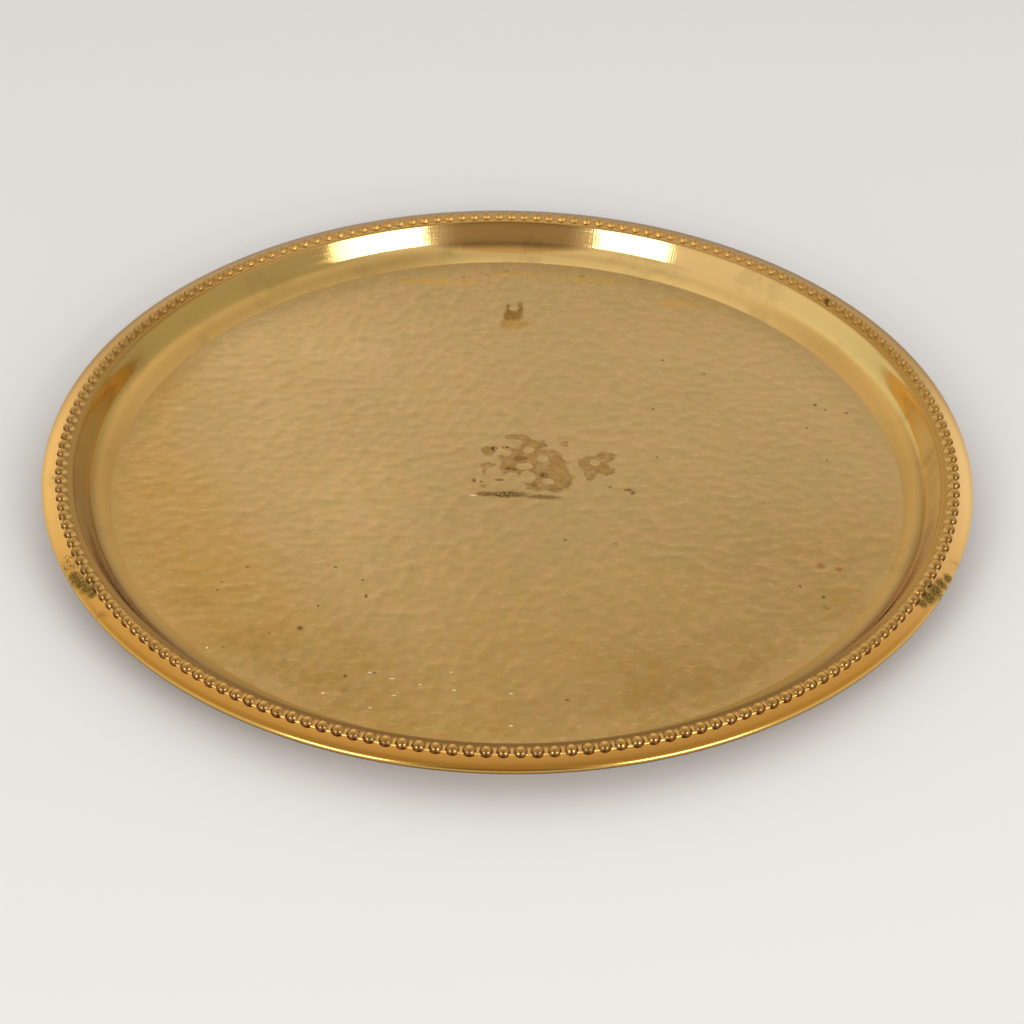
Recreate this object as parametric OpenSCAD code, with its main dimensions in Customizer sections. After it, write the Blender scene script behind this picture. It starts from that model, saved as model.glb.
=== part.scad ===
// Round thali plate: a hammered sheet with a coved wall, a narrow rim that carries a row
// of beads on a thin band, and an outer edge curled around a stiffening wire.
// The origin is at the centre of the flat underside, with +Z up.

/* [Plate] */
// Diameter across the curled edge
plate_d = 305; // [180:1:420]
// Thickness of the sheet
sheet_t = 0.7; // [0.5:0.05:1]
// Depth of the well, from the rim's ledge down to the floor
well_depth = 11.2; // [9:0.1:25]
// Radius of the cove between the floor and the wall, on the upper face
cove_r = 9; // [3:0.5:14]
// Slope of the wall, in degrees from level
wall_slope = 63; // [45:1:80]

/* [Rim] */
// Radius of the lip between the wall and the rim, on the underside
lip_r = 0.3; // [0.2:0.1:2]
// Width of the level ledge that carries the beaded border
ledge_w = 5.3; // [4.5:0.1:9]
// Radius of the bend from the ledge down to the curled edge, on the upper face
skirt_r = 8.5; // [6:0.5:30]
// Slope where the bend meets the curled edge, in degrees, falling outwards
skirt_slope = 25; // [16:1:40]

/* [Curled edge] */
// Diameter of the stiffening wire
wire_d = 0.9; // [0.8:0.05:1.6]
// Clearance all round the wire inside the curl
wire_gap = 0.02; // [0.01:0.01:0.05]
// Gap between the free edge of the curl and the rim above it
seam_gap = 0.15; // [0.1:0.01:0.25]

/* [Beaded border] */
// Number of beads
bead_count = 192; // [60:1:240]
// Diameter of a bead where it meets its band
bead_d = 3.8; // [1.5:0.1:3.9]
// Height of a bead above its band
bead_h = 1.45; // [0.6:0.05:1.8]
// Width of the band that joins the beads
band_w = 4.2; // [4.1:0.1:4.4]
// Thickness of the band
band_t = 0.3; // [0.2:0.05:0.6]
// Chamfer along both upper edges of the band
band_chamfer = 0.1; // [0.05:0.01:0.14]
// Distance from the band to the outer side of the ledge
band_setback = 0.05; // [0:0.01:0.1]

/* [Hidden] */
$fn = 96;

// Turn between neighbouring points of a bend in the sheet's section, in degrees
bend_step = 8;
// Share of the band's thickness that the foot of each bead reaches down into
bead_foot_share = 0.5;

plate_r = plate_d / 2;

// Curled edge, worked out from the wire that it wraps
bore_r = wire_d / 2 + wire_gap;
curl_r = bore_r + sheet_t;
curl_x = plate_r - curl_r;
curl_start = 90 - skirt_slope;
curl_end = curl_start - 360 + acos((bore_r - seam_gap) / curl_r);

// Distances from the axis, worked out from the curled edge inwards
skirt_x = curl_x + (curl_r - skirt_r) * sin(skirt_slope);
lip_x = skirt_x - ledge_w;
lip_top_r = lip_r + sheet_t;
wall_top_x = lip_x - lip_top_r * sin(wall_slope);

// Heights, worked out from the floor up and then along the rim
ledge_z = sheet_t + well_depth;
lip_z = ledge_z - lip_top_r;
wall_top_z = lip_z + lip_top_r * cos(wall_slope);
cove_z = sheet_t + cove_r;
wall_foot_z = cove_z - cove_r * cos(wall_slope);
skirt_z = ledge_z - skirt_r;
curl_z = skirt_z + (skirt_r - curl_r) * cos(skirt_slope);

// The wall's run sets how far in the flat floor ends
wall_foot_x = wall_top_x - (wall_top_z - wall_foot_z) / tan(wall_slope);
floor_r = wall_foot_x - cove_r * sin(wall_slope);

// Each bead is the cap of a ball, on a circle along the middle of the band
border_r = skirt_x - band_setback - band_w / 2;
ball_r = (bead_d * bead_d / 4 + bead_h * bead_h) / (2 * bead_h);
ball_z = band_t + bead_h - ball_r;

// Points of a bend in the sheet: an arc about [x, z] from angle a1 to angle a2
function bend(x, z, r, a1, a2) =
    let (steps = ceil(abs(a2 - a1) / bend_step))
    [for (i = [0 : steps])
        let (a = a1 + (a2 - a1) * i / steps)
        [x + r * cos(a), z + r * sin(a)]];

// Section of the sheet: along its upper face, round the curl and back along its underside
function sheet_points() = concat(
    [[0, 0], [0, sheet_t]],
    bend(floor_r, cove_z, cove_r, -90, wall_slope - 90),
    bend(lip_x, lip_z, lip_top_r, 90 + wall_slope, 90),
    bend(skirt_x, skirt_z, skirt_r, 90, curl_start),
    bend(curl_x, curl_z, curl_r, curl_start - bend_step, curl_end),
    bend(curl_x, curl_z, bore_r, curl_end, curl_start - bend_step),
    bend(skirt_x, skirt_z, skirt_r - sheet_t, curl_start, 90),
    bend(lip_x, lip_z, lip_r, 90, 90 + wall_slope),
    bend(floor_r, cove_z, cove_r + sheet_t, wall_slope - 90, -90)
);

module plate_body() {
    color([0.80, 0.64, 0.33])
        rotate_extrude() polygon(sheet_points());
}

module band() {
    half = band_w / 2;
    rotate_extrude() translate([border_r, 0]) polygon([
        [-half, 0],
        [half, 0],
        [half, band_t - band_chamfer],
        [half - band_chamfer, band_t],
        [-half + band_chamfer, band_t],
        [-half, band_t - band_chamfer]
    ]);
}

module bead() {
    rotate_extrude() intersection() {
        translate([0, ball_z]) circle(r = ball_r);
        translate([0, band_t * bead_foot_share]) square([ball_r, 2 * ball_r]);
    }
}

module beaded_border() {
    color([0.76, 0.58, 0.28])
        translate([0, 0, ledge_z]) {
            band();
            for (i = [0 : bead_count - 1])
                rotate(i * 360 / bead_count)
                    translate([border_r, 0, 0]) bead();
        }
}

module edge_wire() {
    color([0.72, 0.55, 0.25])
        rotate_extrude()
            translate([curl_x, curl_z]) circle(r = wire_d / 2);
}

plate_body();
beaded_border();
edge_wire();
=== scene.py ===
"""Hammered brass thali plate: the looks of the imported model, its camera, lights and floor."""
import math

import bpy
import numpy as np
from mathutils import Matrix, Vector, kdtree, noise


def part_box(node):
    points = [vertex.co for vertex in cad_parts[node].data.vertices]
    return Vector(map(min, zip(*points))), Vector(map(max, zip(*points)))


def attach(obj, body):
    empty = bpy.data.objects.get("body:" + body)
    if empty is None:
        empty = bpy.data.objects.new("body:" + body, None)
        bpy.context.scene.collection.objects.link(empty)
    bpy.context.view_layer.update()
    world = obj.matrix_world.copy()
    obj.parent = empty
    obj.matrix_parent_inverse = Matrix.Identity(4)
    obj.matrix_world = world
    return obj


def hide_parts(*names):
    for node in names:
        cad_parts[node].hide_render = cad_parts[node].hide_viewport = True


MM = 0.001
UP = math.pi / 2

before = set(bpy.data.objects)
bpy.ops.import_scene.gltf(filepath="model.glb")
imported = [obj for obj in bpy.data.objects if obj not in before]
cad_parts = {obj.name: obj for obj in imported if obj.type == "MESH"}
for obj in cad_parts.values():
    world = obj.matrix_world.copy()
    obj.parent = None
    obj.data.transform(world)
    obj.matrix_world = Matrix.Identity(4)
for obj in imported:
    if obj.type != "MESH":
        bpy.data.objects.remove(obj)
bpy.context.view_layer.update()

# Sizes of the plate in metres, as in the part's source, but for BEAD_R, which is 0.05 mm more
EDGE_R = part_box("plate_body")[1].x
LEDGE_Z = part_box("plate_body")[1].z
SHEET_T = 0.7 * MM
COVE_R = 9 * MM
WALL_SLOPE = math.radians(63)
LIP_R = 0.3 * MM
LEDGE_W = 5.3 * MM
SKIRT_R = 8.5 * MM
SKIRT_SLOPE = math.radians(25)
WIRE_R = 0.45 * MM
WIRE_GAP = 0.02 * MM
SEAM_GAP = 0.15 * MM
BEAD_COUNT = 192
BEAD_TURN = 2 * math.pi / BEAD_COUNT
BEAD_R = 1.95 * MM
BEAD_H = 1.45 * MM
BAND_W = 4.2 * MM
BAND_T = 0.3 * MM
BAND_SETBACK = 0.05 * MM

# Places on the section of the sheet, worked out from the edge inwards
BORE_R = WIRE_R + WIRE_GAP
CURL_R = BORE_R + SHEET_T
CURL_X = EDGE_R - CURL_R
CURL_START = UP - SKIRT_SLOPE
CURL_END = CURL_START - 2 * math.pi + math.acos((BORE_R - SEAM_GAP) / CURL_R)
SKIRT_X = CURL_X + (CURL_R - SKIRT_R) * math.sin(SKIRT_SLOPE)
SKIRT_Z = LEDGE_Z - SKIRT_R
CURL_Z = SKIRT_Z + (SKIRT_R - CURL_R) * math.cos(SKIRT_SLOPE)
LIP_TOP_R = LIP_R + SHEET_T
LIP_X = SKIRT_X - LEDGE_W
LIP_Z = LEDGE_Z - LIP_TOP_R
COVE_Z = SHEET_T + COVE_R
WALL_TOP_X = LIP_X - LIP_TOP_R * math.sin(WALL_SLOPE)
WALL_TOP_Z = LIP_Z + LIP_TOP_R * math.cos(WALL_SLOPE)
WALL_FOOT_Z = COVE_Z - COVE_R * math.cos(WALL_SLOPE)
WALL_FOOT_X = WALL_TOP_X - (WALL_TOP_Z - WALL_FOOT_Z) / math.tan(WALL_SLOPE)
FLOOR_R = WALL_FOOT_X - COVE_R * math.sin(WALL_SLOPE)
BORDER_R = SKIRT_X - BAND_SETBACK - BAND_W / 2
BAND_IN = BORDER_R - BAND_W / 2

# Fineness of the meshes
FLOOR_CELLS = 224
UNDER_CELLS = FLOOR_CELLS // 2
RIM_STEPS = 2 * FLOOR_CELLS
BEAD_CELLS = 16
BAND_CELLS = 19

# Hammer marks
MARK_PITCH = 4.4 * MM
MARK_CURVE_R = 27 * MM
MARK_CURVE_SPREAD = (0.7, 1.4)
MARK_DEPTH_SPREAD = 0.024 * MM
MARK_SHIFT = 0.38
MARK_SEED = 11

# Slow waves of the floor and of the wall, as raised by hand
FLOOR_WAVE = 0.10 * MM
FLOOR_WAVE_SCALE = 22
WALL_WAVE = 0.07 * MM
WALL_WAVE_SCALE = 160

# Unevenness of the beads, and the outer edge of their band
BEAD_SEED = 5
BEAD_SHIFT = 0.05 * MM
BEAD_WIDTHS = (0.95, 1.02)
BEAD_HEIGHTS = (0.92, 1.04)
BEAD_LEAN = 0.08
SCALLOP_R = 1.02 * BEAD_R
LAND_REACH = 1.45 * MM
BAND_LEAD = 0.08 * MM

# Camera, from the photograph's outer edge and bead row
CAMERA_LENS = 80.44
CAMERA_SENSOR = 36
CAMERA_ELEVATION = math.radians(36.47)
CAMERA_DISTANCE = 0.7587
CAMERA_PAN = math.radians(0.122)
CAMERA_TILT = math.radians(-1.599)
CAMERA_ROLL = math.radians(-0.899)
PHOTO_SIZE = 1024


# Camera

def turned(a, b, angle):
    """The axes a and b after a turn by angle in their plane."""
    return a * math.cos(angle) - b * math.sin(angle), a * math.sin(angle) + b * math.cos(angle)


def camera_axes():
    """The camera's place and its right, up and forward directions."""
    e = CAMERA_ELEVATION
    back = Vector((0, -math.cos(e), math.sin(e)))
    right, up, ahead = Vector((1, 0, 0)), Vector((0, math.sin(e), math.cos(e))), -back
    place = Vector((0, 0, CURL_Z)) + back * CAMERA_DISTANCE
    right, ahead = turned(right, ahead, CAMERA_PAN)
    up, ahead = turned(up, ahead, CAMERA_TILT)
    right, up = turned(right, up, CAMERA_ROLL)
    return place, right, up, ahead


def on_level(px, py, level):
    """The place at this height over the ground that a pixel of the photograph shows."""
    place, right, up, ahead = camera_axes()
    focal = CAMERA_LENS / CAMERA_SENSOR * PHOTO_SIZE
    half = PHOTO_SIZE / 2
    ray = ahead + right * ((px - half) / focal) + up * ((half - py) / focal)
    hit = place + ray * ((level - place.z) / ray.z)
    return hit.x, hit.y


def make_camera():
    place, right, up, ahead = camera_axes()
    camera = bpy.data.objects.new("camera", bpy.data.cameras.new("camera"))
    camera.data.sensor_width = CAMERA_SENSOR
    camera.data.lens = CAMERA_LENS
    camera.matrix_world = Matrix.Translation(place) @ Matrix((right, up, -ahead)).transposed().to_4x4()
    bpy.context.scene.collection.objects.link(camera)
    bpy.context.scene.camera = camera


# Shader graphs

class Graph:
    """Short names for the nodes that the materials are made of."""

    def __init__(self, tree):
        self.tree = tree

    def add(self, kind, **settings):
        node = self.tree.nodes.new(kind)
        for key, value in settings.items():
            setattr(node, key, value)
        return node

    def put(self, socket, value):
        if isinstance(value, bpy.types.NodeSocket):
            self.tree.links.new(value, socket)
        elif isinstance(value, tuple) and len(value) == 3 and socket.type == "RGBA":
            socket.default_value = (*value, 1)
        else:
            socket.default_value = value

    def math(self, operation, *values):
        node = self.add("ShaderNodeMath", operation=operation)
        for socket, value in zip(node.inputs, values):
            self.put(socket, value)
        return node.outputs[0]

    def vector(self, operation, *values, out=0):
        node = self.add("ShaderNodeVectorMath", operation=operation)
        for socket, value in zip(node.inputs, values):
            self.put(socket, value)
        return node.outputs[out]

    def times(self, *values):
        total = values[0]
        for value in values[1:]:
            total = self.math("MULTIPLY", total, value)
        return total

    def less(self, value):
        """One less the value."""
        return self.math("SUBTRACT", 1, value)

    def smooth(self, value, low, high, start=0.0, end=1.0):
        """A soft step from start to end while the value goes from low to high."""
        node = self.add("ShaderNodeMapRange", interpolation_type="SMOOTHSTEP")
        for socket, item in zip(node.inputs, (value, low, high, start, end)):
            self.put(socket, item)
        return node.outputs[0]

    def mix(self, amount, a, b):
        """The colour a turned into b by the amount."""
        node = self.add("ShaderNodeMix", data_type="RGBA")
        for index, value in ((0, amount), (6, a), (7, b)):
            self.put(node.inputs[index], value)
        return node.outputs[2]

    def blend(self, amount, a, b):
        """The value a turned into b by the amount."""
        node = self.add("ShaderNodeMix", data_type="FLOAT")
        for index, value in ((0, amount), (2, a), (3, b)):
            self.put(node.inputs[index], value)
        return node.outputs[0]

    def noise(self, where, scale, detail=3.0, rough=0.5):
        node = self.add("ShaderNodeTexNoise")
        self.put(node.inputs["Vector"], where)
        for name, value in (("Scale", scale), ("Detail", detail), ("Roughness", rough)):
            self.put(node.inputs[name], value)
        return node.outputs["Fac"]

    def ramp(self, value, stops):
        node = self.add("ShaderNodeValToRGB")
        elements = node.color_ramp.elements
        while len(elements) < len(stops):
            elements.new(0.5)
        for element, (place, colour) in zip(elements, stops):
            element.position = place
            element.color = (*colour, 1)
        self.put(node.inputs[0], value)
        return node.outputs[0]

    def split(self, where):
        node = self.add("ShaderNodeSeparateXYZ")
        self.put(node.inputs[0], where)
        return tuple(node.outputs)

    def join(self, x, y, z):
        node = self.add("ShaderNodeCombineXYZ")
        for socket, value in zip(node.inputs, (x, y, z)):
            self.put(socket, value)
        return node.outputs[0]

    def bump(self, height, distance, strength=1.0, normal=None):
        node = self.add("ShaderNodeBump")
        self.put(node.inputs["Height"], height)
        self.put(node.inputs["Distance"], distance)
        self.put(node.inputs["Strength"], strength)
        if normal is not None:
            self.put(node.inputs["Normal"], normal)
        return node.outputs[0]

    def spot(self, where, centre, radii, soft=0.5):
        """One inside an upright oval on the plate's plane, fading to zero outside it."""
        away = self.vector("SUBTRACT", where, (centre[0], centre[1], 0))
        away = self.vector("MULTIPLY", away, (1 / radii[0], 1 / radii[1], 0))
        length = self.vector("LENGTH", away, out="Value")
        return self.smooth(length, 1 + soft, 1 - soft)


def start_material(name):
    material = bpy.data.materials.new(name)
    material.use_nodes = True
    graph = Graph(material.node_tree)
    shader = material.node_tree.nodes["Principled BSDF"]
    shader.inputs["Metallic"].default_value = 1
    where = graph.add("ShaderNodeTexCoord").outputs["Object"]
    return material, graph, shader, where


def polar(g, where):
    """Distance from the plate's axis, angle and height."""
    x, y, z = g.split(where)
    r = g.math("SQRT", g.math("ADD", g.times(x, x), g.times(y, y)))
    return r, g.math("ARCTAN2", y, x), z


# Materials

# Colours of the brass by region, as linear red, green and blue
# The colours by place around the plate, for the floor, cove, wall, ledge, lands, bend, curl and beads, are
# lighter and darker copies of one brass: painted light, shade and reflection.
FLOOR_BACK = (0.565, 0.365, 0.140)
FLOOR_FRONT = (0.545, 0.322, 0.090)
FLOOR_WORN = (0.48, 0.315, 0.120)
FLOOR_LEFT = (0.54, 0.300, 0.070)
FLOOR_FAR = (0.505, 0.320, 0.115)
FLOOR_LIT = (0.63, 0.415, 0.170)
FLOOR_DIM = (0.475, 0.280, 0.085)
FLOOR_CORNER_SHADE = (0.43, 0.250, 0.063)
FLOOR_NEAR_SHADE = (0.445, 0.252, 0.053)
FLOOR_WARM = (0.62, 0.365, 0.138)
FLOOR_OLIVE = (0.49, 0.340, 0.105)
FLOOR_DASH = (0.70, 0.480, 0.220)
WALL_TARNISH = (0.30, 0.19, 0.060)
WALL_BACK = (0.80, 0.52, 0.20)
WALL_BACK_LEFT = (0.40, 0.255, 0.078)
WALL_LEFT = (0.60, 0.395, 0.092)
WALL_LEFT_REAR = (0.45, 0.290, 0.080)
WALL_RIGHT = (0.80, 0.57, 0.20)
WALL_RIGHT_FRONT = (0.92, 0.67, 0.22)
COVE_BACK = (0.97, 0.64, 0.23)
COVE_BACK_LEFT = (0.70, 0.435, 0.135)
COVE_UPPER = (0.68, 0.40, 0.115)
COVE_SIDE = (0.50, 0.290, 0.078)
COVE_FRONT = (0.405, 0.222, 0.043)
LEDGE_BACK = (0.62, 0.36, 0.105)
LEDGE_SIDE = (0.37, 0.20, 0.046)
LEDGE_RIGHT = (0.47, 0.255, 0.056)
LEDGE_FRONT = (0.27, 0.14, 0.034)
LAND_INNER = (0.52, 0.27, 0.072)
LAND_FRONT = (0.73, 0.40, 0.095)
LAND_EDGE_HIGHLIGHT = (1.0, 0.63, 0.18)
SKIRT_BACK = (0.40, 0.265, 0.135)
SKIRT_UPPER = (0.51, 0.295, 0.086)
SKIRT_SIDE = (0.88, 0.52, 0.150)
SKIRT_RIGHT = (0.94, 0.60, 0.225)
SKIRT_FRONT = (0.70, 0.345, 0.070)
SKIRT_FOOT_SHADE = (0.58, 0.27, 0.040)
CURL_FRONT = (0.66, 0.40, 0.105)
CURL_PAINTED_SHADE = (0.15, 0.085, 0.028)
UNDER_COLOUR = (0.40, 0.26, 0.095)
UNDER_DARK = (0.27, 0.18, 0.075)
BEAD_COLOUR = (0.64, 0.345, 0.085)
BEAD_DULL = (0.50, 0.29, 0.085)
BEAD_TOP_HIGHLIGHT = (0.90, 0.50, 0.11)
BEAD_BACK_SHADE = (0.52, 0.31, 0.105)
BEAD_FLANK_SHADE = (0.38, 0.20, 0.055)
BEAD_INNER_LIGHT = (0.70, 0.465, 0.165)
GRIME_AND_PAINTED_SHADE = (0.13, 0.070, 0.032)
PATCH_COLOUR = (0.44, 0.255, 0.060)
FILM_COLOUR = (0.43, 0.235, 0.058)
FILM_DARK = (0.34, 0.175, 0.045)
FILM_EDGE = (0.24, 0.120, 0.034)
STREAK_COLOUR = (0.27, 0.140, 0.036)
CRUST_COLOUR = (0.12, 0.060, 0.018)
BROWN_COLOUR = (0.29, 0.135, 0.016)
BROWN_PALE = (0.46, 0.260, 0.046)
RED_COLOUR = (0.34, 0.135, 0.060)
SPECK_COLOUR = (0.20, 0.110, 0.036)
PAINTED_GLINT_COLOUR = (1.0, 0.78, 0.42)
WORN_COLOUR = (0.62, 0.345, 0.055)
TARNISH_COLOUR = (0.11, 0.075, 0.010)
WIRE_DARK = (0.50, 0.33, 0.13)
WIRE_PALE = (0.70, 0.45, 0.15)
GROUND_COLOUR = (0.85, 0.84, 0.83)

# Marks on the plate, by pixels of the photograph: centre x, centre y, half width, half height
FILM = ((519, 437.8, 12, 2.8), (532, 443, 15, 5), (527, 457, 23, 9), (546, 464, 19, 13),
        (556, 478, 15, 12), (538, 484, 15, 6), (514, 467, 12, 9), (488.9, 450.6, 6.5, 3.8),
        (488, 465, 7, 1.8), (485, 469, 1.8, 4), (499.5, 480, 4.5, 1.2), (483, 486, 3.5, 1.8),
        (502.5, 466.5, 1.6, 7), (564, 445, 4, 3), (592.6, 464, 13, 7), (604, 458, 8, 5),
        (608, 455, 8, 2), (592, 474, 6, 6), (606, 470, 9, 5))
CLEAR = ((515.9, 442.7, 6.5, 3.3), (538, 437, 9, 4.2), (528.7, 450, 6.5, 3.6), (542.7, 458.5, 6.8, 4),
         (524.4, 466.4, 10, 3.8), (528, 477.4, 8.5, 6.5), (548.2, 481.6, 6.8, 3.5), (552, 442.5, 8, 3.5),
         (562, 449.5, 8, 3.8), (568.5, 457.3, 6, 4), (506, 453, 6, 3.4), (512, 476, 8, 4),
         (518, 486, 10, 4), (594.5, 462.8, 5.5, 3.6), (600, 477.4, 6.5, 4.2), (613, 465, 5, 3),
         (572, 470, 4, 5))
STREAKS = ((484, 493.5, 7, 2.6), (543.3, 497.1, 17, 2.3), (520, 458.5, 8, 2.4), (499.5, 480, 4.5, 1.0),
           (481, 481.3, 1.6, 1.2), (534, 485, 3, 1.8), (628, 490, 4, 1.2), (632.5, 493, 2.5, 2))
CRUST = ((507, 494.2, 20, 3.2), (494, 448, 3.2, 2.2), (505.5, 447.5, 4.5, 1.2), (511, 469, 6, 1.1),
         (544, 474.8, 4.2, 2.4), (474, 480, 2.2, 2.2))
BROWN_SPOT = ((514, 314.5, 9, 5.2), (520, 309, 3.2, 6.5), (507.5, 315.5, 4, 5), (508.5, 309, 2.6, 5))
BROWN_PATCH = ((509, 322.5, 9, 6.5), (518, 323, 11, 5), (513, 319, 8, 3.5))
BROWN_HOLE = (513.8, 308.2, 5, 2.8)
RED_MARKS = ((820.6, 566.2, 4.2, 2.6), (839, 569.5, 3.2, 2.2))
PATCHES = ((842, 606, 24, 17), (143, 536, 9, 9), (250, 640, 34, 12), (190, 600, 22, 10))
WORN_ARCS = ((440, 281.5, 36, 2.2), (520, 274.5, 26, 1.6), (590, 280, 32, 2), (684, 304, 30, 2.4))
SPECKS = ((704, 374, 1.4, 0.9), (663, 360, 1.4, 0.8), (653, 409, 1.3, 0.8), (815, 405, 1.8, 1),
          (825, 410, 1.3, 0.8), (807, 428, 1.2, 0.8), (827, 461, 1.2, 0.8), (833, 365, 1.3, 0.8),
          (847, 413, 1.3, 0.8), (657, 457, 1.4, 0.8), (800, 586, 1.5, 1.2), (335, 567, 1.7, 1),
          (363, 580, 1.3, 0.9), (366, 596, 1.5, 2.2), (318, 606, 1.3, 1.4), (300, 628, 3, 2),
          (823.2, 597, 2.2, 1.4), (824, 607.5, 1.3, 1), (828, 608, 1.2, 0.9), (610, 487, 1.8, 0.9),
          # The speck at (375, 672.6) beside a painted glint is the dark side of a small pit: painted shade.
          (375, 672.6, 1.8, 1), (345, 676, 2.4, 1.6), (568, 700, 1.8, 1.2), (248, 567, 1.5, 0.8),
          (223, 647, 1.6, 0.9), (222, 582, 1.1, 0.8), (217, 590, 1.3, 0.9), (269, 633, 1.1, 0.8),
          (616, 544, 1.8, 0.9), (565, 540, 1.6, 0.8))
# The glints are painted highlights: small lamp reflections in pits of the floor, painted as light specks.
PAINTED_GLINTS = ((370, 672.4, 1.9, 0.6), (392, 678.4, 2.6, 0.55), (420, 684.4, 1.7, 0.5),
          (454, 690.2, 1.9, 0.7), (323, 693, 2, 0.7), (394, 695.4, 2, 0.45), (370, 708, 1.6, 0.6),
          (451, 672, 1.4, 0.5), (511, 693.4, 1.7, 0.6), (511, 725.8, 2, 0.7), (473, 495.3, 3, 0.6),
          (207, 647.5, 1, 0.9))
RIM_SPOTS = ((70.6, 565, 7, 8), (55, 478, 7, 7), (955, 562, 6, 4.5), (100, 614, 8, 4))
RIM_SPECKS = ((68, 560, 6, 5), (71, 567, 8, 6), (78, 573, 8, 5), (88, 584, 9, 6))
RIM_TARNISH = ((73, 575, 5, 4), (77, 579, 6.5, 4.5), (82, 584, 7, 4.5), (87, 589, 7, 4.5),
               (92, 594, 5, 3.5), (948, 577, 4.5, 3.5), (941, 583, 6, 4.5), (935, 590, 7.5, 6.5),
               (929, 597, 7, 5.5), (923, 603, 5, 4), (826.3, 302.6, 2.6, 3.4))


def wobble(g, where, scale, amount):
    """The place shifted sideways by noise, so that outlines drawn with it are uneven."""
    node = g.add("ShaderNodeTexNoise")
    g.put(node.inputs["Vector"], where)
    g.put(node.inputs["Scale"], scale)
    shift = g.vector("SUBTRACT", node.outputs["Color"], (0.5, 0.5, 0.5))
    return g.vector("ADD", where, g.vector("MULTIPLY", shift, (amount, amount, 0)))


def marks(g, where, spots, soft=0.5, level=SHEET_T):
    """One inside any of the spots of the photograph, laid on the plate at this height."""
    total = None
    for px, py, wide, tall in spots:
        x, y = on_level(px, py, level)
        radii = (on_level(px + wide, py, level)[0] - x, on_level(px, py - tall, level)[1] - y)
        spot = g.spot(where, (x, y), radii, soft)
        total = spot if total is None else g.math("MAXIMUM", total, spot)
    return total


def around(g, where, r):
    """How far a place lies at the back, in the rear half and at the front, each from zero to one."""
    sine = g.math("DIVIDE", g.split(where)[1], g.math("MAXIMUM", r, 1 * MM))
    return g.smooth(sine, 0.50, 0.90), g.smooth(sine, -0.05, 0.42), g.smooth(sine, -0.45, -0.90)


def rim_marks(g, where, colour):
    """The brown spots and dark tarnish on the rim."""
    loose = wobble(g, where, 240, 2.4 * MM)
    blotch = g.smooth(g.noise(where, 450, 4, 0.7), 0.36, 0.66)
    spots = g.times(marks(g, loose, RIM_SPOTS, 0.8, LEDGE_Z), blotch, 0.5)
    colour = g.mix(spots, colour, FILM_EDGE)
    grain = g.smooth(g.noise(where, 2300, 2, 0.6), 0.40, 0.54, 0.5, 1)
    near = wobble(g, wobble(g, where, 420, 1.8 * MM), 1300, 1.2 * MM)
    dark = g.times(marks(g, near, RIM_TARNISH, 0.5, LEDGE_Z), grain)
    specks = g.smooth(g.noise(where, 1300, 3, 0.7), 0.52, 0.60)
    dark = g.math("MAXIMUM", dark, g.times(marks(g, near, RIM_SPECKS, 0.4, LEDGE_Z), specks, 0.8))
    return g.mix(dark, colour, TARNISH_COLOUR), dark


def floor_colour(g, where):
    """The colour of the hammered floor, with painted light and shade by region and the brass's own tone
    mottled from mark to mark, without the stains on it.
    """
    x, y, _ = g.split(where)
    broad = g.noise(where, 17, 2)
    # Painted light and shade: darker towards the front and the far back, lighter where the light falls at the
    # front left, dimmer at the right front, more orange at the left edge, darker at the front corners and in
    # the strip nearest the front rim.
    floor = g.mix(g.smooth(y, -20 * MM, -115 * MM), FLOOR_BACK, FLOOR_FRONT)
    lean = g.math("ADD", x, g.times(y, 0.5))
    lit = g.times(g.smooth(x, 0, -60 * MM), g.smooth(lean, -98 * MM, -60 * MM))
    floor = g.mix(lit, floor, FLOOR_LIT)
    dim = g.times(g.smooth(x, 20 * MM, 90 * MM), g.smooth(y, 10 * MM, -50 * MM, 0, 0.85))
    floor = g.mix(dim, floor, FLOOR_DIM)
    floor = g.mix(g.smooth(y, 65 * MM, 115 * MM), floor, FLOOR_FAR)
    left = g.math("MAXIMUM", g.smooth(x, -98 * MM, -126 * MM), g.smooth(lean, -85 * MM, -125 * MM))
    floor = g.mix(left, floor, FLOOR_LEFT)
    aside = g.smooth(g.math("ABSOLUTE", x), 8 * MM, 50 * MM)
    corner_shade = g.times(aside, g.smooth(y, -72 * MM, -108 * MM, 0, 0.8))
    floor = g.mix(corner_shade, floor, FLOOR_CORNER_SHADE)
    floor = g.mix(g.smooth(y, -119 * MM, -129 * MM, 0, 0.9), floor, FLOOR_NEAR_SHADE)
    floor = g.mix(g.smooth(broad, 0.35, 0.7, 0, 0.45), floor, FLOOR_WORN)
    cells = g.add("ShaderNodeTexVoronoi", feature="SMOOTH_F1", voronoi_dimensions="2D")
    g.put(cells.inputs["Vector"], wobble(g, where, 300, 1.6 * MM))
    g.put(cells.inputs["Scale"], 1 / MARK_PITCH)
    g.put(cells.inputs["Smoothness"], 0.35)
    warm, olive, _ = g.split(cells.outputs["Color"])
    floor = g.mix(g.smooth(warm, 0.25, 0.8, 0, 0.32), floor, FLOOR_WARM)
    floor = g.mix(g.smooth(olive, 0.25, 0.8, 0, 0.28), floor, FLOOR_OLIVE)
    dashes = g.noise(g.join(g.times(x, 260), g.times(y, 620), 0), 1, 3, 0.6)
    floor = g.mix(g.smooth(dashes, 0.54, 0.72, 0, 0.40), floor, FLOOR_DASH)
    floor = g.mix(g.smooth(dashes, 0.44, 0.30, 0, 0.35), floor, FLOOR_DIM)
    return floor


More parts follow.
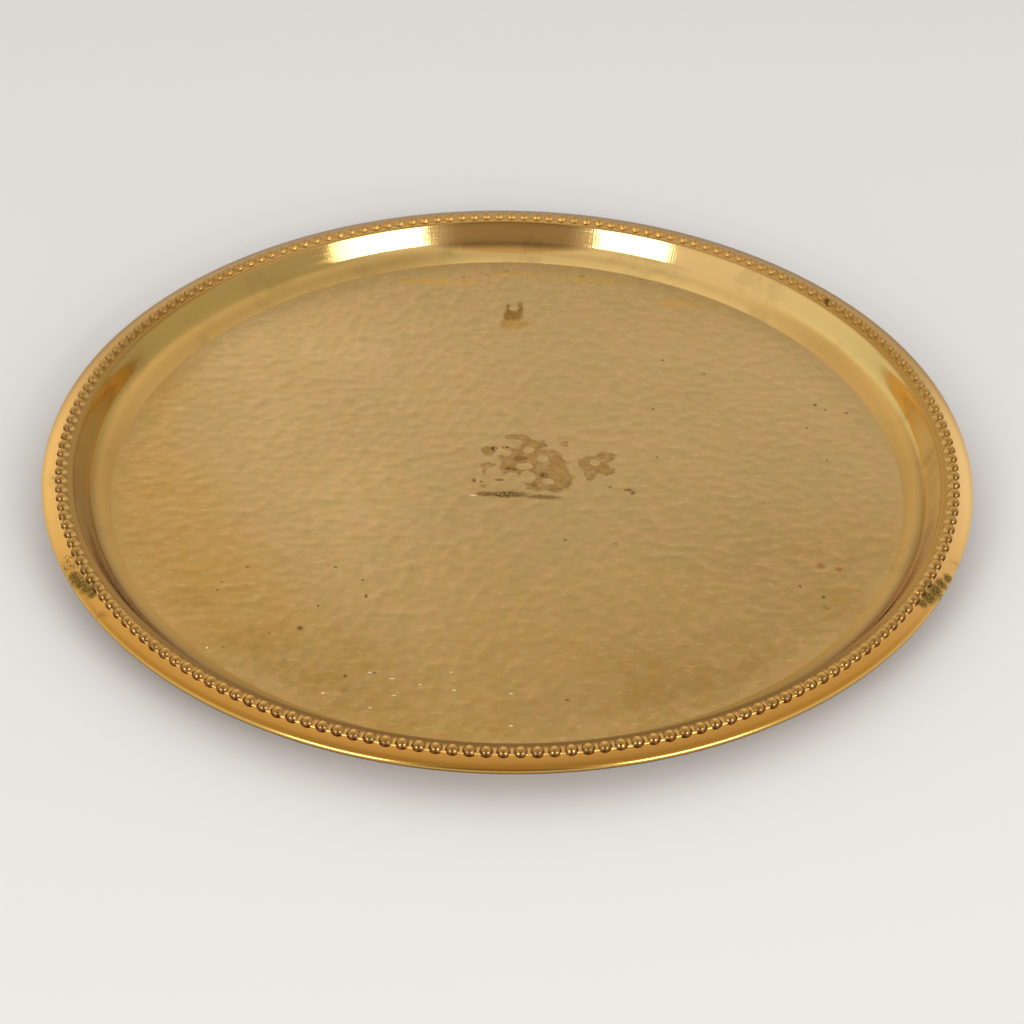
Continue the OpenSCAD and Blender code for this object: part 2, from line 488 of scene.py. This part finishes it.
def floor_marks(g, where, z, colour, fine):
    """The film, crust, spots and specks that lie on the floor, and how much of it they dull, with painted
    glints among them.
    """
    top = g.smooth(z, 0.3 * MM, 0.5 * MM)
    loose = wobble(g, where, 260, 3.2 * MM)
    tight = wobble(g, where, 700, 1.2 * MM)
    ragged = wobble(g, wobble(g, where, 330, 2.6 * MM), 900, 1.4 * MM)
    patch = g.times(top, marks(g, loose, PATCHES, 0.7), g.smooth(fine, 0.3, 0.7, 0.25, 0.75))
    colour = g.mix(patch, colour, PATCH_COLOUR)
    worn = g.times(top, marks(g, loose, WORN_ARCS, 0.7), g.smooth(fine, 0.35, 0.6))
    colour = g.mix(worn, colour, WORN_COLOUR)
    film = g.times(top, marks(g, ragged, FILM, 0.28), g.less(marks(g, tight, CLEAR, 0.2)))
    film = g.times(film, g.smooth(g.noise(where, 1100, 3, 0.7), 0.30, 0.48, 0.4, 1))
    edge = g.times(film, g.less(film), 4)
    patchy = g.smooth(g.noise(where, 380, 4, 0.65), 0.36, 0.60, 0.5, 1)
    stain = g.mix(g.smooth(g.noise(where, 620, 4, 0.7), 0.50, 0.66), FILM_COLOUR, FILM_DARK)
    colour = g.mix(g.times(film, patchy), colour, stain)
    colour = g.mix(g.times(edge, patchy, 0.6), colour, FILM_EDGE)
    brown = g.times(top, marks(g, ragged, BROWN_PATCH, 0.4), patchy)
    colour = g.mix(brown, colour, BROWN_PALE)
    brown = g.times(top, marks(g, tight, BROWN_SPOT, 0.4), g.smooth(fine, 0.3, 0.6, 0.75, 1))
    brown = g.times(brown, g.less(marks(g, tight, (BROWN_HOLE,), 0.3)))
    colour = g.mix(brown, colour, BROWN_COLOUR)
    red = g.times(top, marks(g, tight, RED_MARKS, 0.6))
    colour = g.mix(g.times(red, 0.75), colour, RED_COLOUR)
    broken = g.smooth(g.noise(where, 900, 3, 0.7), 0.38, 0.51, 0.4, 1)
    streak = g.times(top, marks(g, wobble(g, tight, 1500, 1.0 * MM), STREAKS, 0.3), broken)
    colour = g.mix(streak, colour, STREAK_COLOUR)
    crumbs = g.smooth(g.noise(where, 1500, 2, 0.6), 0.40, 0.55, 0.15, 1)
    crust = g.times(top, marks(g, tight, CRUST, 0.4), crumbs)
    colour = g.mix(crust, colour, CRUST_COLOUR)
    speck = g.times(top, marks(g, tight, SPECKS, 0.5))
    colour = g.mix(g.times(speck, 0.8), colour, SPECK_COLOUR)
    # Painted highlights: the glints.
    colour = g.mix(g.times(top, marks(g, where, PAINTED_GLINTS, 0.4)), colour, PAINTED_GLINT_COLOUR)
    dull = g.math("MAXIMUM", g.times(film, 0.3), g.math("MAXIMUM", crust, speck))
    return colour, dull


def rim_colour(g, where, r, z):
    """The colour of the polished cove, wall, ledge, bend and curled edge, painted by place with light, shade
    and reflection.
    """
    back, rear, front = around(g, where, r)
    x, y, _ = g.split(where)
    right = g.smooth(x, -75 * MM, -40 * MM)
    far_right = g.smooth(x, 0, 90 * MM)
    # Painted reflection: the wall and cove are lighter where they mirror the lamps and darker where they
    # mirror the darker sky, in copies of the brass that change around the plate.
    wall = g.mix(right, g.mix(rear, WALL_LEFT, WALL_LEFT_REAR), g.mix(rear, WALL_RIGHT_FRONT, WALL_RIGHT))
    wall = g.mix(back, wall, g.mix(right, WALL_BACK_LEFT, WALL_BACK))
    cove = g.mix(g.smooth(x, -45 * MM, -8 * MM), COVE_BACK_LEFT, COVE_BACK)
    cove = g.mix(back, g.mix(front, g.mix(rear, COVE_SIDE, COVE_UPPER), COVE_FRONT), cove)
    colour = g.mix(g.smooth(z, 3.0 * MM, 4.8 * MM), cove, wall)
    # Painted light and shade: the ledge is darkest at the front, lighter at the sides and right, and lightest
    # at the back.
    ledge = g.mix(front, g.mix(far_right, LEDGE_SIDE, LEDGE_RIGHT), LEDGE_FRONT)
    ledge = g.mix(back, ledge, LEDGE_BACK)
    # Painted light and shade: the bend darkens at its foot by the curl, the curl is lighter again at the
    # front, and the bend is bright at the sides and darker at the back and upper sides.
    skirt = g.mix(g.smooth(r, CURL_X - 1.2 * MM, CURL_X), SKIRT_FRONT, SKIRT_FOOT_SHADE)
    skirt = g.mix(g.smooth(r, CURL_X + 0.60 * MM, CURL_X + 0.85 * MM), skirt, CURL_FRONT)
    low = g.smooth(g.math("DIVIDE", y, r), -0.10, -0.75)
    skirt = g.mix(low, g.mix(rear, g.mix(far_right, SKIRT_SIDE, SKIRT_RIGHT), SKIRT_UPPER), skirt)
    skirt = g.mix(back, skirt, SKIRT_BACK)
    tarnish = g.smooth(g.noise(where, 60, 4, 0.6), 0.5, 0.75, 0, 0.35)
    colour = g.mix(tarnish, colour, WALL_TARNISH)
    colour = g.mix(g.smooth(r, WALL_TOP_X - 0.3 * MM, WALL_TOP_X + 0.3 * MM), colour, ledge)
    colour = g.mix(g.smooth(r, BORDER_R + 1.0 * MM, BORDER_R + 1.6 * MM), colour, skirt)
    # Painted shade: the lower side of the curl is darkened where it turns towards the ground.
    curl = g.smooth(r, CURL_X, CURL_X + 0.5 * MM)
    shade = g.times(curl, g.smooth(z, CURL_Z + 0.45 * MM, CURL_Z - 0.35 * MM), 0.9)
    return g.mix(shade, colour, CURL_PAINTED_SHADE)


def hammered_brass():
    """The sheet: a satin hammered floor, a polished rim and a dull underside."""
    material, g, shader, where = start_material("hammered_brass")
    r, turn, z = polar(g, where)
    fine = g.noise(where, 420, 4, 0.6)
    floor, dull = floor_marks(g, where, z, floor_colour(g, where), fine)
    polished = g.smooth(r, FLOOR_R - 0.4 * MM, FLOOR_R + 0.4 * MM)
    colour = g.mix(polished, floor, rim_colour(g, where, r, z))
    colour, rim_dull = rim_marks(g, where, colour)
    normal = g.add("ShaderNodeTexCoord").outputs["Normal"]
    under = g.smooth(g.split(normal)[2], 0.15, -0.25)
    under_colour = g.mix(g.smooth(g.noise(where, 40, 5, 0.6), 0.35, 0.7), UNDER_COLOUR, UNDER_DARK)
    lower = g.times(under, g.smooth(r, CURL_X, CURL_X - 0.4 * MM))
    colour = g.mix(lower, colour, under_colour)
    g.put(shader.inputs["Base Color"], colour)

    rings = g.join(g.times(turn, 3.0), g.times(r, 900), g.times(z, 900))
    streaks = g.noise(rings, 1, 3)
    rays = g.join(g.times(turn, 300), g.times(r, 40), g.times(z, 40))
    scratches = g.noise(rays, 1, 3, 0.6)
    rough = g.math("ADD", 0.12, g.smooth(fine, 0.3, 0.8, 0, 0.10))
    rough = g.math("ADD", rough, g.times(g.math("MAXIMUM", dull, rim_dull), 0.35))
    wall_rough = g.math("ADD", 0.06, g.smooth(streaks, 0.4, 0.8, 0, 0.08))
    wall_rough = g.math("ADD", wall_rough, g.smooth(r, CURL_X, CURL_X + 0.5 * MM, 0, 0.08))
    wall_rough = g.math("MAXIMUM", wall_rough, g.times(rim_dull, 0.4))
    rough = g.blend(polished, rough, wall_rough)
    rough = g.blend(under, rough, g.math("ADD", 0.26, g.times(fine, 0.16)))
    g.put(shader.inputs["Roughness"], rough)

    before = g.math("MAXIMUM", g.math("SUBTRACT", r, FLOOR_R - 10 * MM), 0)
    before = g.math("POWER", g.math("MINIMUM", g.math("DIVIDE", before, 10 * MM), 1), 2)
    beyond = g.math("MAXIMUM", g.math("SUBTRACT", r, FLOOR_R), 0)
    beyond = g.less(g.math("MINIMUM", g.math("DIVIDE", beyond, 3 * MM), 1))
    dish = g.math("SUBTRACT", before, g.times(g.math("POWER", beyond, 2), 0.3))
    normals = g.bump(dish, 0.7 * MM)
    normals = g.bump(g.noise(where, 900, 3), 0.004 * MM, normal=normals)
    normals = g.bump(streaks, 0.003 * MM, polished, normals)
    normals = g.bump(scratches, 0.012 * MM, g.times(polished, 0.8), normals)
    g.put(shader.inputs["Normal"], normals)
    return material


def border_brass():
    """The beads and the flat lands between them, with painted light, shade and highlights by place."""
    material, g, shader, where = start_material("border_brass")
    r, turn, z = polar(g, where)
    back, rear, front = around(g, where, r)
    along = g.math("FRACT", g.math("ADD", g.math("DIVIDE", turn, BEAD_TURN), BEAD_COUNT + 0.5))
    across = g.times(g.math("SUBTRACT", along, 0.5), BEAD_TURN * BORDER_R)
    out = g.math("SUBTRACT", r, BORDER_R)
    away = g.vector("LENGTH", g.join(across, out, 0), out="Value")
    fine = g.noise(where, 500, 3)
    far_right = g.smooth(g.split(where)[0], 0, 90 * MM)
    side = g.less(g.math("MAXIMUM", front, rear))
    # Painted light and shade: the lands are darkest at the sides, lighter at the right and back, and lighter
    # outwards at the front, with a painted highlight along their outer edge.
    land_front = g.mix(g.smooth(out, -1.9 * MM, -0.5 * MM), LAND_INNER, LAND_FRONT)
    land = g.mix(front, g.mix(far_right, LEDGE_SIDE, LEDGE_RIGHT), land_front)
    land = g.mix(back, land, LEDGE_BACK)
    land = g.mix(g.smooth(out, 0.7 * MM, 1.3 * MM), land, LAND_EDGE_HIGHLIGHT)
    dome = g.mix(g.smooth(fine, 0.4, 0.75, 0, 0.5), BEAD_COLOUR, BEAD_DULL)
    # Painted highlight: the tops of the front beads are lightened.
    dome = g.mix(g.times(front, g.smooth(away, 0.45 * BEAD_R, 0.15 * BEAD_R, 0, 0.8)), dome, BEAD_TOP_HIGHLIGHT)
    # Painted shade: the beads at the back take a darker, duller copy of the brass.
    dome = g.mix(g.times(rear, 0.8), dome, BEAD_BACK_SHADE)
    # Painted shade: the flanks of the beads are darkened, except at the back, and at the sides only on their
    # outer half.
    flank = g.times(g.smooth(away, 0.25 * BEAD_R, 0.70 * BEAD_R), g.less(rear))
    flank = g.times(flank, g.blend(side, 1, g.smooth(out, -0.9 * MM, 0.4 * MM)))
    dome = g.mix(g.times(flank, 0.8), dome, BEAD_FLANK_SHADE)
    domed = g.times(g.smooth(away, 0.98 * BEAD_R, 0.80 * BEAD_R), g.smooth(out, -1.7 * MM, -0.2 * MM))
    colour = g.mix(domed, land, dome)
    # Painted light: at the sides the inner flank of each bead is lightened.
    inner = g.times(g.smooth(away, 0.60 * BEAD_R, 0.90 * BEAD_R),
                    g.smooth(away, 1.16 * BEAD_R, 1.08 * BEAD_R))
    inner = g.times(inner, side, g.smooth(out, 0.2 * MM, -0.9 * MM))
    colour = g.mix(g.times(inner, 0.85), colour, BEAD_INNER_LIGHT)
    # Grime and painted shade: a dark ring round each bead, on its outer side, also on its inner side at the
    # front, and faint at the back.
    ring = g.times(g.smooth(away, 0.76 * BEAD_R, 0.92 * BEAD_R), g.smooth(away, 1.14 * BEAD_R, 1.0 * BEAD_R))
    outer = g.smooth(out, -0.2 * MM, 1.3 * MM, g.times(front, 0.45), 1)
    ring = g.times(ring, outer, g.smooth(fine, 0.25, 0.6, 0.6, 0.95), g.smooth(rear, 0, 1, 1, 0.25))
    colour = g.mix(ring, colour, GRIME_AND_PAINTED_SHADE)
    # Painted shade: the low outer foot of each bead is darkened.
    foot = g.times(g.smooth(away, 1.12 * BEAD_R, 1.04 * BEAD_R), g.smooth(out, 0.4 * MM, 1.2 * MM))
    foot = g.times(foot, g.smooth(z, LEDGE_Z + 0.75 * MM, LEDGE_Z + 0.4 * MM), 0.9)
    colour, dull = rim_marks(g, where, g.mix(foot, colour, GRIME_AND_PAINTED_SHADE))
    g.put(shader.inputs["Base Color"], colour)
    rough = g.math("ADD", 0.13, g.smooth(fine, 0.3, 0.8, 0, 0.10))
    rough = g.math("ADD", rough, g.times(rear, 0.24))
    lower = g.times(g.smooth(away, 0.78 * BEAD_R, 0.95 * BEAD_R), g.smooth(out, 0.2 * MM, 1.0 * MM))
    rough = g.math("ADD", rough, g.times(lower, 0.25))
    g.put(shader.inputs["Roughness"], g.math("ADD", rough, g.times(dull, 0.3)))
    g.put(shader.inputs["Normal"], g.bump(g.noise(where, 1200, 3), 0.006 * MM))
    return material


def wire_brass():
    """The wire, which the curled edge hides."""
    material, g, shader, where = start_material("wire_brass")
    fine = g.noise(where, 500, 3)
    g.put(shader.inputs["Base Color"], g.mix(fine, WIRE_DARK, WIRE_PALE))
    g.put(shader.inputs["Roughness"], g.math("ADD", 0.25, g.times(fine, 0.1)))
    return material


# Meshes

def arc(x, z, r, a1, a2, steps):
    """Points of a bend in the section: about (x, z), from angle a1 to angle a2."""
    turn = np.linspace(a1, a2, steps + 1)
    return [(x + r * math.cos(a), z + r * math.sin(a)) for a in turn]


def section():
    """The sheet's section from the edge of the upper floor, over the rim and back to the lower floor.

    The last number of each bend is its count of steps, more where the bend shows.
    """
    wall = WALL_SLOPE
    points = arc(FLOOR_R, COVE_Z, COVE_R, -UP, wall - UP, 12)
    wall_end = (WALL_TOP_X, WALL_TOP_Z)
    foot = points[-1]
    points += [tuple(np.array(foot) + (np.array(wall_end) - foot) * s) for s in (1 / 3, 2 / 3)]
    points += arc(LIP_X, LIP_Z, LIP_TOP_R, UP + wall, UP, 8)
    points += arc(SKIRT_X, SKIRT_Z, SKIRT_R, UP, CURL_START, 6)[:-1]
    points += arc(CURL_X, CURL_Z, CURL_R, CURL_START, CURL_END, 24)
    points += arc(CURL_X, CURL_Z, BORE_R, CURL_END, CURL_START, 8)
    points += arc(SKIRT_X, SKIRT_Z, SKIRT_R - SHEET_T, CURL_START, UP, 3)[1:]
    points += arc(LIP_X, LIP_Z, LIP_R, UP, UP + wall, 4)
    points += arc(FLOOR_R, COVE_Z, COVE_R + SHEET_T, wall - UP, -UP, 6)
    return points


def disc_grid(cells, radius):
    """A square grid bent into a disc: its points, its quads, and its edge anticlockwise from angle zero."""
    line = np.linspace(-1, 1, cells + 1)
    a, b = np.meshgrid(line, line, indexing="ij")
    wide = np.abs(a) > np.abs(b)
    safe_a = np.where(a == 0, 1, a)
    safe_b = np.where(b == 0, 1, b)
    r = np.where(wide, a, b)
    turn = np.where(wide, math.pi / 4 * b / safe_a, math.pi / 2 - math.pi / 4 * a / safe_b)
    x, y = radius * r * np.cos(turn), radius * r * np.sin(turn)
    index = np.arange((cells + 1) ** 2).reshape(cells + 1, cells + 1)
    edge = np.concatenate([index[-1, :-1], index[::-1, -1][:-1], index[0, ::-1][:-1], index[:-1, 0]])
    edge = np.roll(edge, -(cells // 2))
    quads = np.stack([index[:-1, :-1], index[1:, :-1], index[1:, 1:], index[:-1, 1:]], axis=-1)
    return x.ravel(), y.ravel(), quads.reshape(-1, 4), edge


def mark_centres():
    """Centres, depths and curves of the hammer marks: a loose triangular pattern."""
    rng = np.random.default_rng(MARK_SEED)
    step = MARK_PITCH * math.sqrt(3) / 2
    rows, columns = int(EDGE_R / step) + 2, int(EDGE_R / MARK_PITCH) + 2
    places = []
    for j in range(-rows, rows + 1):
        for i in range(-columns, columns + 1):
            shift = rng.uniform(-MARK_SHIFT, MARK_SHIFT, 2) * MARK_PITCH
            x, y = (i + 0.5 * (j % 2)) * MARK_PITCH + shift[0], j * step + shift[1]
            depth = rng.uniform(0, MARK_DEPTH_SPREAD)
            places.append((x, y, depth, MARK_CURVE_R * rng.uniform(*MARK_CURVE_SPREAD)))
    return places


def hammer_height(x, y):
    """Height of the hammered floor over its plane at each point."""
    places = mark_centres()
    tree = kdtree.KDTree(len(places))
    for k, (px, py, _, _) in enumerate(places):
        tree.insert((px, py, 0), k)
    tree.balance()
    height = np.empty(len(x))
    for n in range(len(x)):
        near = tree.find_n((x[n], y[n], 0), 6)
        height[n] = min(d * d / (2 * places[k][3]) - places[k][2] for _, k, d in near)
    scale = FLOOR_WAVE_SCALE
    wave = np.array([noise.noise((px * scale, py * scale, 3.1)) for px, py in zip(x, y)]) * FLOOR_WAVE
    r = np.hypot(x, y)
    fade = np.clip((FLOOR_R - 0.5 * MM - r) / (4 * MM), 0, 1)
    fade = fade * fade * (3 - 2 * fade)
    return (height - height.mean() + wave) * fade


def rim_ring(turn, r, z):
    """One ring of the rim. The wall and cove wave in and out a little."""
    above_floor = min(max((z - 1.2 * MM) / (4 * MM), 0), 1)
    inside_lip = min(max((LIP_X - 0.7 * MM - r) / (1.2 * MM), 0), 1)
    places = [(3.6 * math.cos(a), 3.6 * math.sin(a), z * WALL_WAVE_SCALE) for a in turn]
    wave = np.array([noise.noise(place) + 0.35 * noise.noise([3.1 * v for v in place]) for place in places])
    r = r + above_floor * inside_lip * WALL_WAVE * wave
    return np.column_stack([r * np.cos(turn), r * np.sin(turn), np.full(RIM_STEPS, z)])


def band_quads(inner, outer):
    """Quads between two rings of points, given from the inside of a turning section outwards."""
    return list(zip(inner, outer, np.roll(outer, -1), np.roll(inner, -1)))


def plate_mesh():
    """The whole sheet as one closed mesh."""
    fx, fy, floor_quads, floor_edge = disc_grid(FLOOR_CELLS, FLOOR_R)
    ux, uy, under_quads, under_edge = disc_grid(UNDER_CELLS, FLOOR_R)
    top = np.column_stack([fx, fy, SHEET_T + hammer_height(fx, fy)])
    turn = np.arange(RIM_STEPS) * 2 * math.pi / RIM_STEPS
    rings = [rim_ring(turn, r, z) for r, z in section()[1:-1]]
    bottom = np.column_stack([ux, uy, np.maximum(0.6 * hammer_height(ux, uy), 0)])
    vertices = np.concatenate([top, *rings, bottom])
    ring_index = len(top) + np.arange(len(rings) * RIM_STEPS).reshape(len(rings), RIM_STEPS)
    under_start = len(top) + len(rings) * RIM_STEPS
    faces = [tuple(q) for q in floor_quads]
    first = ring_index[0]
    for k in range(RIM_STEPS):
        a, m, b = (floor_edge[(2 * k + s) % len(floor_edge)] for s in range(3))
        c, d = first[k], first[(k + 1) % RIM_STEPS]
        faces += [(a, c, m), (m, c, d), (m, d, b)]
    chain = [*ring_index, under_start + under_edge]
    for inner, outer in zip(chain[:-1], chain[1:]):
        faces += band_quads(inner, outer)
    faces += [tuple(q[::-1] + under_start) for q in under_quads]
    return vertices, faces


def bead_height(u, w, shape):
    """Height of a bead over the band at u outwards and w sideways from its middle."""
    shift_u, shift_w, wide, tall, lean = shape
    u, w = u - shift_u, w - shift_w
    side = 0.5 - 0.5 * np.cos(np.arctan2(np.abs(w), u))
    reach = BEAD_R * wide * (1 + 0.10 * side ** 2)
    power = 0.52 + 0.42 * side ** 1.5
    q = np.minimum(np.hypot(u, w) / reach, 1)
    return BEAD_H * tall * (1 + lean * w / BEAD_R) * (1 - q * q) ** power


def border_mesh():
    """The band with its beads as one closed mesh, with an outer edge that follows the beads."""
    rng = np.random.default_rng(BEAD_SEED)
    steps = BEAD_COUNT * BEAD_CELLS
    turn = np.arange(steps) * BEAD_TURN / BEAD_CELLS
    place = np.arange(steps) + BEAD_CELLS // 2
    bead = place // BEAD_CELLS % BEAD_COUNT
    w = (place % BEAD_CELLS / BEAD_CELLS - 0.5) * BEAD_TURN * BORDER_R
    shapes = np.column_stack([
        rng.normal(0, BEAD_SHIFT, BEAD_COUNT), rng.normal(0, BEAD_SHIFT, BEAD_COUNT),
        rng.uniform(*BEAD_WIDTHS, BEAD_COUNT), rng.uniform(*BEAD_HEIGHTS, BEAD_COUNT),
        rng.uniform(-BEAD_LEAN, BEAD_LEAN, BEAD_COUNT)])
    shape = shapes[bead].T
    scallop = BORDER_R + np.sqrt(np.maximum(SCALLOP_R ** 2 - w * w, 0))
    edge = np.maximum(scallop, BORDER_R + LAND_REACH)
    slope = (0.06 + 0.20 * np.clip((edge - scallop) / (0.25 * MM), 0, 1)) * MM
    cos, sin, flat = np.cos(turn), np.sin(turn), np.ones(steps)

    def ring(r, z):
        return np.column_stack([r * cos, r * sin, z])

    rings = [ring(BAND_IN * flat, LEDGE_Z * flat), ring(BAND_IN * flat, (LEDGE_Z + 0.03 * MM) * flat)]
    for share in np.linspace(0, 1, BAND_CELLS + 1):
        r = BAND_IN + BAND_LEAD + share * (edge - slope - BAND_IN - BAND_LEAD)
        ramp = np.clip((r - BAND_IN) / (0.8 * MM), 0.1, 1)
        band = BAND_T * ramp * ramp * (3 - 2 * ramp)
        rings.append(ring(r, LEDGE_Z + band + bead_height(r - BORDER_R, w, shape)))
    rings += [ring(edge, (LEDGE_Z + BAND_T * 0.15) * flat), ring(edge, LEDGE_Z * flat)]
    vertices = np.concatenate(rings)
    index = np.arange(len(vertices)).reshape(len(rings), steps)
    faces = []
    chain = [*index, index[0]]
    for inner, outer in zip(chain[:-1], chain[1:]):
        faces += band_quads(inner, outer)
    return vertices, faces


def add_mesh(name, vertices, faces):
    mesh = bpy.data.meshes.new(name)
    mesh.from_pydata([tuple(v) for v in vertices], [], [tuple(int(i) for i in f) for f in faces])
    mesh.validate()
    mesh.update()
    mesh.shade_smooth()
    piece = bpy.data.objects.new(name, mesh)
    bpy.context.scene.collection.objects.link(piece)
    return piece


# Studio

# Levels of the sky behind the plate, at its sides and in a narrow strip behind the camera, by the sine of
# the elevation
BACK_LIGHT = ((0, 0.55), (0.17, 0.60), (0.34, 0.80), (0.50, 0.90),
              (0.68, 0.76), (0.85, 0.66), (0.96, 0.58), (1, 0.56))
SIDE_LIGHT = ((0, 0.75), (0.17, 0.84), (0.34, 0.90), (0.50, 0.86),
              (0.68, 0.78), (0.85, 0.70), (0.96, 0.60), (1, 0.56))
NEAR_LIGHT = ((0, 0.45), (0.17, 0.40), (0.34, 0.40), (0.50, 0.26),
              (0.64, 0.22), (0.77, 0.29), (0.91, 0.45), (1, 0.56))
SKY_TINT = (1, 0.98, 0.95)
SKY_LEFT_TINT = (1.11, 1.08, 1.04)
NEAR_TINT = (1, 0.80, 0.60)
LAMP_DISTANCE = 1.5
LAMP_HEIGHT = 0.54
LAMP_TALL = 0.70
LAMP_RADIANCE = 6.5
GROUND_HALF = 6.0


def add_softbox(name, azimuth, width):
    """A rectangular lamp that faces the plate. Azimuth 0 is the camera's side."""
    a = math.radians(azimuth)
    data = bpy.data.lights.new(name, "AREA")
    data.shape = "RECTANGLE"
    data.size, data.size_y = width, LAMP_TALL
    data.energy = LAMP_RADIANCE * math.pi * width * LAMP_TALL
    lamp = bpy.data.objects.new(name, data)
    lamp.location = Vector((math.sin(a) * LAMP_DISTANCE, -math.cos(a) * LAMP_DISTANCE, LAMP_HEIGHT))
    lamp.rotation_mode = "QUATERNION"
    lamp.rotation_quaternion = (-lamp.location).to_track_quat("-Z", "Y")
    bpy.context.scene.collection.objects.link(lamp)


def sky(g, height, levels, tint):
    """The colour of the sky at each height, from the levels of its light."""
    return g.ramp(height, [(place, tuple(level * t for t in tint)) for place, level in levels])


def make_world():
    """A soft sky that changes from the side of the camera to the back."""
    world = bpy.data.worlds.new("studio")
    bpy.context.scene.world = world
    world.use_nodes = True
    g = Graph(world.node_tree)
    x, y, z = g.split(g.add("ShaderNodeTexCoord").outputs["Generated"])
    level = g.math("SQRT", g.math("ADD", g.times(x, x), g.times(y, y)))
    behind = g.math("DIVIDE", y, g.math("MAXIMUM", level, 0.001))
    aside = g.math("DIVIDE", x, g.math("MAXIMUM", level, 0.001))
    back, back_left = sky(g, z, BACK_LIGHT, SKY_TINT), sky(g, z, BACK_LIGHT, SKY_LEFT_TINT)
    back = g.mix(g.smooth(aside, 0.02, -0.17), back, back_left)
    colour = g.mix(g.smooth(behind, 0.2, 0.97), sky(g, z, SIDE_LIGHT, SKY_TINT), back)
    colour = g.mix(g.smooth(behind, -0.90, -0.975), colour, sky(g, z, NEAR_LIGHT, NEAR_TINT))
    g.put(world.node_tree.nodes["Background"].inputs["Color"], colour)


def make_studio():
    """The floor, the sky and two lamps, whose mirror images lie on the rear wall as in the photograph."""
    ground = bpy.data.meshes.new("studio_floor")
    h = GROUND_HALF
    ground.from_pydata([(-h, -h, 0), (h, -h, 0), (h, h, 0), (-h, h, 0)], [], [(0, 1, 2, 3)])
    floor = bpy.data.objects.new("studio_floor", ground)
    bpy.context.scene.collection.objects.link(floor)
    material = bpy.data.materials.new("studio_floor")
    material.use_nodes = True
    shader = material.node_tree.nodes["Principled BSDF"]
    shader.inputs["Base Color"].default_value = (*GROUND_COLOUR, 1)
    shader.inputs["Roughness"].default_value = 0.8
    ground.materials.append(material)
    make_world()
    add_softbox("softbox_left", -34.9, 0.51)
    add_softbox("softbox_right", 38.3, 0.67)


# The scene

make_camera()

sheet = add_mesh("plate_sheet", *plate_mesh())
sheet.data.materials.append(hammered_brass())
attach(sheet, "root")
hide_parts("plate_body")

border = add_mesh("bead_border", *border_mesh())
border.data.materials.append(border_brass())
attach(border, "root")
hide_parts("beaded_border")

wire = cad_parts["edge_wire"]
wire.data.materials.clear()
wire.data.materials.append(wire_brass())

make_studio()
bpy.context.scene.view_settings.view_transform = "Standard"
